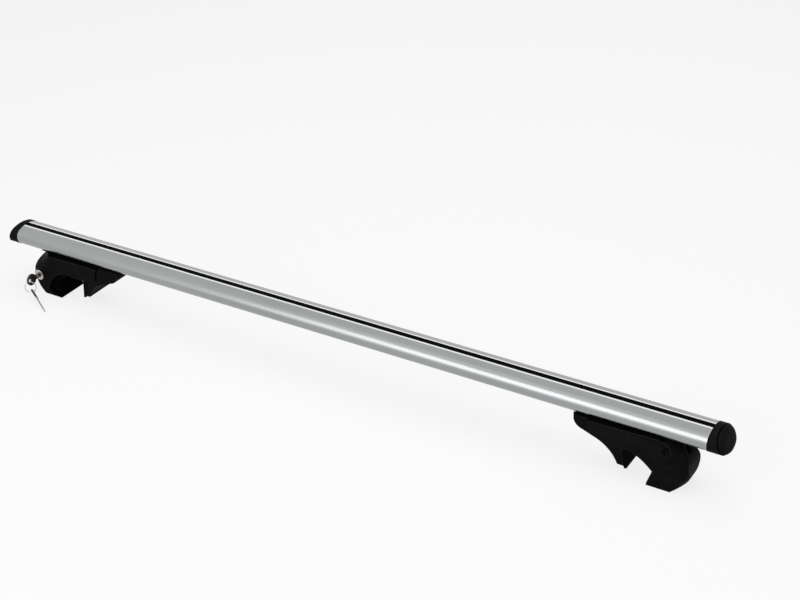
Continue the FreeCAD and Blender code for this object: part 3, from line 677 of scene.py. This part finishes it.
@dataclass(frozen=True)
class TurnedMetal(Finish):
    """Metal turned on a lathe, with rings about an axis along Y and, if wanted, a dark disc of
    painted shade for the keyway.
    """

    axis: Span
    tone: Colour
    ring_tone: Colour
    keyway_shade_tone: Colour = (0.03, 0.02, 0.012)
    keyway_shade_radius: float = 0.0
    keyway_shade_blur: float = 0.0003
    cloud_scale: float = 300.0
    pitch: float = 0.00035
    ring_share: float = 0.6
    cloud_share: float = 0.4
    roughness: float = 0.22
    cloud_spread: float = 0.12
    ring_spread: float = 0.08

    def sockets(self, graph: Graph) -> dict[str, object]:
        """Adds the rings, the clouds and the keyway's painted shade.

        Args:
            graph: the material's graph.

        Returns:
            The value or link of each of the shader's inputs that is set.
        """
        radius = graph.distance((self.axis[0], 0.0, self.axis[1]), ROUND_Y)
        steps = graph.add("ShaderNodeCombineXYZ", {}, {"X": radius / self.pitch})
        rings = graph.plain_noise(steps, Layers.FEW)
        cloud = graph.noise(self.cloud_scale, Layers.SOME)
        mottle = rings * self.ring_share + cloud * self.cloud_share
        colour = graph.mix(mottle.between(*CLOUD_RANGE), self.tone, self.ring_tone)
        # Painted shade: a dark disc about the axis stands in for the keyway's hollow.
        if self.keyway_shade_radius > 0.0:
            keyway_shade = radius.between(self.keyway_shade_radius + self.keyway_shade_blur,
                                  self.keyway_shade_radius - self.keyway_shade_blur)
            colour = graph.mix(keyway_shade, colour, self.keyway_shade_tone)
        uneven = cloud.sway(self.cloud_spread) + rings.sway(self.ring_spread)
        return {
            "Base Color": colour,
            "Metallic": 1.0,
            "Roughness": uneven + self.roughness,
            "Normal": graph.bump(rings, MARK_DEPTH, SMALL_EDGE),
        }


def dress(node: str, material: bpy.types.Material) -> None:
    """Puts a finish on a CAD node.

    Args:
        node: the node's name.
        material: the finish.
    """
    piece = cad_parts[node]
    if not piece.material_slots:
        piece.data.materials.append(None)
    for slot in piece.material_slots:
        slot.link = "OBJECT"
        slot.material = material
    LOG.info("finish %s on %s", material.name, node)


def mesh_piece(name: str, vertices: list, faces: list,
               material: bpy.types.Material) -> bpy.types.Object:
    """Makes a mesh piece in the row frame, smooth but for its sharp edges.

    Args:
        name: the piece's name.
        vertices: its points, in metres.
        faces: its faces, as lists of vertex numbers.
        material: its finish.

    Returns:
        The new object.
    """
    mesh = bpy.data.meshes.new(name)
    mesh.from_pydata(vertices, [], faces)
    shape = bmesh.new()
    shape.from_mesh(mesh)
    bmesh.ops.recalc_face_normals(shape, faces=shape.faces)
    shape.to_mesh(mesh)
    shape.free()
    mesh.shade_smooth()
    mesh.set_sharp_from_angle(angle=SHARP_ANGLE)
    mesh.materials.append(material)
    piece = bpy.data.objects.new(name, mesh)
    bpy.context.scene.collection.objects.link(piece)
    LOG.info("piece %s: %d faces", name, len(faces))
    return piece


def round_bead(name: str, points: list, radius: float,
               material: bpy.types.Material) -> bpy.types.Object:
    """Sweeps a round bead along a smooth line.

    Args:
        name: the piece's name.
        points: the line's control points, each a place and a share of the radius.
        radius: the bead's full radius, in metres.
        material: its finish.

    Returns:
        The new object, a mesh.
    """
    curve = bpy.data.curves.new(name, "CURVE")
    curve.dimensions = "3D"
    curve.bevel_depth = radius
    curve.bevel_resolution = BEAD_SIDES
    curve.resolution_u = BEAD_STEPS
    curve.use_fill_caps = True
    spline = curve.splines.new("NURBS")
    spline.points.add(len(points) - 1)
    for point, (place, share) in zip(spline.points, points):
        point.co = (*place, 1.0)
        point.radius = share
    spline.order_u = BEAD_ORDER
    spline.use_endpoint_u = True
    line = bpy.data.objects.new(name, curve)
    mesh = bpy.data.meshes.new_from_object(line)
    bpy.data.objects.remove(line)
    vertices = [tuple(vertex.co) for vertex in mesh.vertices]
    return mesh_piece(name, vertices, [list(face.vertices) for face in mesh.polygons], material)


class Finishes:
    """The finishes that several nodes or both feet share, each made once."""

    def __init__(self) -> None:
        """Makes the finishes."""
        self.bar = Aluminium("satin_aluminium").build()
        self.strip = Rubber("strip_rubber", way=Way.ALONG_BAR).build()
        # The cap takes a painted line of shade along the groove round it.
        self.cap = MouldedPlastic(
            "cap_plastic", tone=(0.0075, 0.0075, 0.008), bloom_tone=(0.0115, 0.0115, 0.012),
            roughness=0.3, spread=0.06, gloss=0.006, grain=1800.0, grain_depth=0.000012,
            edge=0.0016, edge_highlight_share=0.0, seam=(0.59575, 0.393)).build()
        # Painted shade above the lip, under the bar.
        self.housing = MouldedPlastic("foot_plastic", lip=-0.0152).build()
        self.bezel = MouldedPlastic("bezel_plastic", shade_reach=0.006).build()
        # A lighter copy of the housing's plastic for the beads: a painted highlight.
        self.ridge_highlight = MouldedPlastic(
            "ridge_highlight_plastic", tone=(0.012, 0.012, 0.0118), bloom_tone=(0.019, 0.019, 0.0187),
            edge_highlight_share=0.0).build()
        # Painted shade above the lip, under the bar.
        self.slider = MouldedPlastic(
            "slider_plastic", tone=(0.004, 0.004, 0.0042), bloom_tone=(0.0076, 0.0076, 0.0078),
            roughness=0.52, lip=-0.0128).build()
        self.pad = Rubber("pad_rubber").build()
        self.steel = PlatedMetal(
            "zinc_plate", tone=(0.42, 0.42, 0.43), cloud_tone=(0.5, 0.5, 0.5),
            roughness=0.34, spread=0.2).build()
        self.screw = PlatedMetal(
            "screw_plate", tone=(0.38, 0.38, 0.39), cloud_tone=(0.5, 0.5, 0.5),
            roughness=0.28, way=Way.ALONG_SCREW).build()
        self.dark_screw = PlatedMetal(
            "black_screw", tone=(0.004, 0.004, 0.0042), cloud_tone=(0.008, 0.008, 0.0085),
            roughness=0.38).build()
        self.wire = PlatedMetal(
            "ring_wire", tone=(0.62, 0.62, 0.61), cloud_tone=(0.5, 0.5, 0.49),
            roughness=0.22, spread=0.1).build()


@dataclass
class Bar:
    """The aluminium bar with its strip and end caps."""

    finishes: Finishes

    def build(self) -> None:
        """Dresses the bar's nodes."""
        dress("bar_extrusion", self.finishes.bar)
        dress("top_strip", self.finishes.strip)
        for side in Side:
            dress(f"{side.word}_end_cap", self.finishes.cap)


@dataclass
class Foot:
    """One foot pack: housing, rail seat, jaw, screw and lock, with its moulded trim.

    Places are those of the right foot, in metres. The left foot is the same, turned half a turn.
    """

    side: Side
    finishes: Finishes
    lock_x: float = 0.5435
    lock_z: float = -0.0555
    keyway_radius: float = 0.0034
    wall_y: float = 0.02585
    bead_radius: float = 0.0008
    plain_bead: Course = (
        (0.4168, -0.0154, 0.3), (0.42, -0.0152, 1.0), (0.445, -0.0149, 1.0),
        (0.482, -0.0137, 1.0), (0.507, -0.0127, 1.0), (0.519, -0.0127, 1.0),
        (0.5275, -0.0148, 1.0), (0.5325, -0.0195, 0.9), (0.5355, -0.0277, 0.6),
        (0.5375, -0.034, 0.3), (0.5385, -0.038, 0.1))
    lock_bead: Course = (
        (0.4168, -0.0154, 0.3), (0.421, -0.0152, 1.0), (0.45, -0.0152, 1.0),
        (0.49, -0.0154, 1.0), (0.505, -0.0162, 1.0), (0.514, -0.018, 0.7),
        (0.52, -0.0215, 0.2))
    mouth_y: Span = (-0.0092, 0.0052)
    mouth_z: Span = (-0.0362, -0.0258)
    mouth_margin: float = 0.0002
    bezel_y: Span = (-0.0044, 0.0042)
    bezel_z: Span = (-0.0354, -0.0274)
    corner_radius: float = 0.0018
    corner_points: int = 8
    bezel_depth: float = 0.0028
    bezel_inset: float = 0.0003
    outside_x: float = 0.62

    def build(self) -> None:
        """Dresses the foot's nodes and adds its trim."""
        word = self.side.word
        dress(f"{word}_housing", self.finishes.housing)
        dress(f"{word}_jaw_slider", self.finishes.slider)
        for part in ("saddle_pad", "rail_insert", "jaw_pad"):
            dress(f"{word}_{part}", self.finishes.pad)
        for part in ("hanger", "clamp_washer", "screw_clip", "clamp_nut"):
            dress(f"{word}_{part}", self.finishes.steel)
        dress(f"{word}_clamp_screw", self.finishes.screw)
        dress(f"{word}_side_screws", self.finishes.dark_screw)
        self.dress_lock()
        self.add_bead("plain_bead", self.plain_bead, -self.wall_y)
        self.add_bead("lock_bead", self.lock_bead, self.wall_y)
        self.add_bezel()

    def dress_lock(self) -> None:
        """Dresses the lock's nodes with rings about its own axis."""
        word = self.side.word
        axis = (self.side.value * self.lock_x, self.lock_z)
        barrel = TurnedMetal(
            f"{word}_lock_chrome", axis, tone=(0.47, 0.44, 0.42),
            ring_tone=(0.54, 0.51, 0.48)).build()
        # The plug carries a painted shade for its keyway.
        plug = TurnedMetal(
            f"{word}_plug_metal", axis, tone=(0.34, 0.31, 0.28), ring_tone=(0.42, 0.38, 0.34),
            keyway_shade_radius=self.keyway_radius, roughness=0.3).build()
        dress(f"{word}_lock_barrel", barrel)
        dress(f"{word}_lock_plug", plug)
        dress(f"{word}_lock_cam", self.finishes.steel)

    def add_bead(self, name: str, course: Course, wall_y: float) -> None:
        """Adds the moulded bead along the top edge of one side wall, in a lighter plastic that is a
        painted highlight.

        Args:
            name: the end of the piece's name.
            course: X, Z and share of the full radius at each point.
            wall_y: Y of the wall.
        """
        turn = self.side.value
        points = [((turn * x, turn * wall_y, z), share) for x, z, share in course]
        bead = round_bead(f"{self.side.word}_{name}", points, self.bead_radius,
                          self.finishes.ridge_highlight)
        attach(bead, f"{self.side.word}_foot")

    def nose_x(self, y: float, z: float) -> float:
        """Finds the nose's outer face by a ray that comes from outside the bar's end.

        Args:
            y: Y of the ray.
            z: Z of the ray.

        Returns:
            X of the face.
        """
        turn = self.side.value
        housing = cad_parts[f"{self.side.word}_housing"]
        start = Vector((turn * self.outside_x, turn * y, z))
        found, point, _, _ = housing.ray_cast(start, Vector((-turn, 0.0, 0.0)))
        return turn * point.x if found else 0.0

    def face_x(self, y: float, z: float) -> float:
        """The bezel's outer face: the nose's face, as if the mouth weren't there.

        Args:
            y: Y of the point.
            z: Z of the point.

        Returns:
            X of the face, between the nose's faces under and over the mouth.
        """
        low, high = self.mouth_z[0] - self.mouth_margin, self.mouth_z[1] + self.mouth_margin
        share = (z - low) / (high - low)
        return (self.nose_x(y, low) * (1 - share) + self.nose_x(y, high) * share
                - self.bezel_inset)

    def loop(self, span_y: Span, span_z: Span) -> list[Span]:
        """Points round a rectangle with rounded corners, on the nose's end.

        Args:
            span_y: its lowest and highest Y.
            span_z: its lowest and highest Z.

        Returns:
            Y and Z of each point, in turn.
        """
        radius = self.corner_radius
        middle = [(span_y[0] + span_y[1]) / 2, (span_z[0] + span_z[1]) / 2]
        flat = [(span_y[1] - span_y[0]) / 2 - radius, (span_z[1] - span_z[0]) / 2 - radius]
        points = []
        for corner, (sign_y, sign_z) in enumerate(((1, 1), (-1, 1), (-1, -1), (1, -1))):
            for step in range(self.corner_points):
                angle = math.pi / 2 * (corner + step / (self.corner_points - 1))
                points.append((middle[0] + sign_y * flat[0] + radius * math.cos(angle),
                               middle[1] + sign_z * flat[1] + radius * math.sin(angle)))
        return points

    def add_bezel(self) -> None:
        """Adds the moulded bezel that narrows the mouth in the nose to the hex key's hole."""
        outer = self.loop(self.mouth_y, self.mouth_z)
        inner = self.loop(self.bezel_y, self.bezel_z)
        rings = ((outer, 0.0), (inner, 0.0), (inner, self.bezel_depth), (outer, self.bezel_depth))
        turn = self.side.value
        vertices = [(turn * (self.face_x(y, z) - back), turn * y, z)
                    for ring, back in rings for y, z in ring]
        count = len(outer)
        faces = []
        for number in range(len(rings)):
            here, there = number * count, (number + 1) % len(rings) * count
            for spot in range(count):
                after = (spot + 1) % count
                faces.append([here + spot, here + after, there + after, there + spot])
        bezel = mesh_piece(f"{self.side.word}_mouth_bezel", vertices, faces, self.finishes.bezel)
        rim = bezel.modifiers.new("rounded rim", "BEVEL")
        rim.width = RIM_WIDTH
        rim.segments = RIM_SEGMENTS
        rim.angle_limit = RIM_ANGLE
        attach(bezel, f"{self.side.word}_foot")


@dataclass
class Keys:
    """The key in the lock, the wire ring and the spare key on it, with the heads' centres."""

    finishes: Finishes
    lock_head: Point = (-0.5435, -0.044, -0.0555)
    spare_head: Point = (-0.53354, -0.05222, -0.0754)

    def build(self) -> None:
        """Dresses the keys and the ring."""
        dress("left_lock_key", HeadedKey("lock_key_finish", self.lock_head).build())
        dress("spare_key", HeadedKey("spare_key_finish", self.spare_head).build())
        dress("key_ring", self.finishes.wire)


@dataclass(frozen=True)
class Lamp:
    """A rectangular soft lamp that stands at its place and faces its target.

    Its size is width and height in metres, and its power is in watts.
    """

    name: str
    place: Point
    size: Span
    power: float
    target: Point
    mirrored: bool

    def build(self) -> None:
        """Adds the lamp, which glossy pieces mirror only where mirrored is set."""
        light = bpy.data.lights.new(self.name, "AREA")
        light.shape = "RECTANGLE"
        light.size, light.size_y = self.size
        light.energy = self.power
        lamp = bpy.data.objects.new(self.name, light)
        lamp.location = self.place
        lamp.visible_glossy = self.mirrored
        way = Vector(self.target) - Vector(self.place)
        lamp.rotation_euler = way.to_track_quat("-Z", "Y").to_euler()
        bpy.context.scene.collection.objects.link(lamp)
        LOG.info("lamp %s: %.0f W", self.name, self.power)


@dataclass
class Studio:
    """Pale floor and world, and soft lamps."""

    floor_gap: float = 0.0004
    floor_size: float = 30.0
    floor_tone: float = 0.82
    floor_glow: float = 0.8
    ambient: float = 0.28
    lamps: tuple[Lamp, ...] = (
        Lamp("front_softbox", (-0.22, -1.95, 1.22), (2.3, 1.6), 23.0, (0.25, 0.0, 0.0), True),
        Lamp("low_softbox", (-0.3, -2.1, 0.26), (2.8, 0.6), 2.0, (0.25, 0.0, 0.0), True),
        Lamp("upper_softbox", (-0.35, -1.05, 2.6), (2.6, 1.5), 3.8, (0.25, 0.0, 0.0), True),
        Lamp("top_softbox", (0.3, 0.2, 2.3), (2.6, 1.8), 34.0, (0.0, 0.0, 0.0), False),
        Lamp("right_softbox", (2.3, -0.6, 0.9), (1.4, 1.2), 4.0, (0.4, 0.0, 0.0), False))

    def build(self) -> None:
        """Makes the floor, the world and the lamps."""
        self.add_floor()
        self.set_world()
        for lamp in self.lamps:
            lamp.build()

    @staticmethod
    def background_share(graph: Graph) -> Link:
        """Which rays see the plain background.

        Args:
            graph: the graph of the floor or the world.

        Returns:
            1 for camera, glossy and transmission rays, and 0 for the others.
        """
        rays = [graph.add("ShaderNodeLightPath", output=name)
                for name in ("Is Camera Ray", "Is Glossy Ray", "Is Transmission Ray")]
        return rays[0] | rays[1] | rays[2]

    def add_floor(self) -> None:
        """Adds the floor just under the lowest piece."""
        low = CAD_BOX[0][2] - self.floor_gap
        half = self.floor_size / 2
        material, graph = new_graph("studio_floor")
        tone = (self.floor_tone, self.floor_tone, self.floor_tone, 1.0)
        matt = graph.add("ShaderNodeBsdfDiffuse", {}, {"Color": tone})
        glow = graph.add("ShaderNodeEmission", {}, {"Color": WHITE, "Strength": 1.0})
        share = self.background_share(graph) * self.floor_glow
        shader = graph.add("ShaderNodeMixShader", {}, {0: share, 1: matt, 2: glow})
        graph.add("ShaderNodeOutputMaterial", {}, {"Surface": shader})
        corners = [(-half, -half, low), (half, -half, low), (half, half, low), (-half, half, low)]
        floor = mesh_piece("studio_floor", corners, [(0, 1, 2, 3)], material)

    def set_world(self) -> None:
        """Sets a white background and a plain ambient light."""
        world = bpy.data.worlds.new("studio_world")
        world.use_nodes = True
        graph = Graph(world.node_tree)
        strength = self.background_share(graph) * (1.0 - self.ambient) + self.ambient
        light = graph.add("ShaderNodeBackground", {}, {"Color": WHITE, "Strength": strength})
        graph.add("ShaderNodeOutputWorld", {}, {"Surface": light})
        bpy.context.scene.world = world


@dataclass
class Viewpoint:
    """The camera: place in metres, aim and roll in radians, and focal length in pixels."""

    place: Point = (1.1242, -1.5111, 1.1453)
    azimuth: float = 0.5848437
    elevation: float = 0.5357895
    roll: float = -0.0509742
    focal_pixels: float = 1552.47
    image_width: float = 800.0
    sensor: float = 36.0
    clip: Span = (0.01, 100.0)

    def build(self) -> None:
        """Adds the camera and makes it the scene's own."""
        sin_a, cos_a = math.sin(self.azimuth), math.cos(self.azimuth)
        sin_e, cos_e = math.sin(self.elevation), math.cos(self.elevation)
        right = Vector((cos_a, sin_a, 0.0))
        up = Vector((-sin_a * sin_e, cos_a * sin_e, cos_e))
        back = Vector((sin_a * cos_e, -cos_a * cos_e, sin_e))
        turned_right = right * math.cos(self.roll) + up * math.sin(self.roll)
        turned_up = up * math.cos(self.roll) - right * math.sin(self.roll)
        axes = Matrix((turned_right, turned_up, back)).transposed()
        lens = bpy.data.cameras.new("viewpoint")
        lens.sensor_width = self.sensor
        lens.sensor_fit = "HORIZONTAL"
        lens.lens = self.focal_pixels * self.sensor / self.image_width
        lens.clip_start, lens.clip_end = self.clip
        camera = bpy.data.objects.new("viewpoint", lens)
        camera.matrix_world = Matrix.Translation(self.place) @ axes.to_4x4()
        bpy.context.scene.collection.objects.link(camera)
        bpy.context.scene.camera = camera
        LOG.info("camera: %.1f mm lens", lens.lens)


def main() -> None:
    """Builds the camera, the crossbar's looks and the studio."""
    logging.basicConfig(level=logging.INFO, format="%(name)s: %(message)s")
    Viewpoint().build()
    finishes = Finishes()
    Bar(finishes).build()
    for side in Side:
        Foot(side, finishes).build()
    Keys(finishes).build()
    Studio().build()
    bpy.context.scene.view_settings.view_transform = "Standard"


if __name__ == "__main__":
    main()
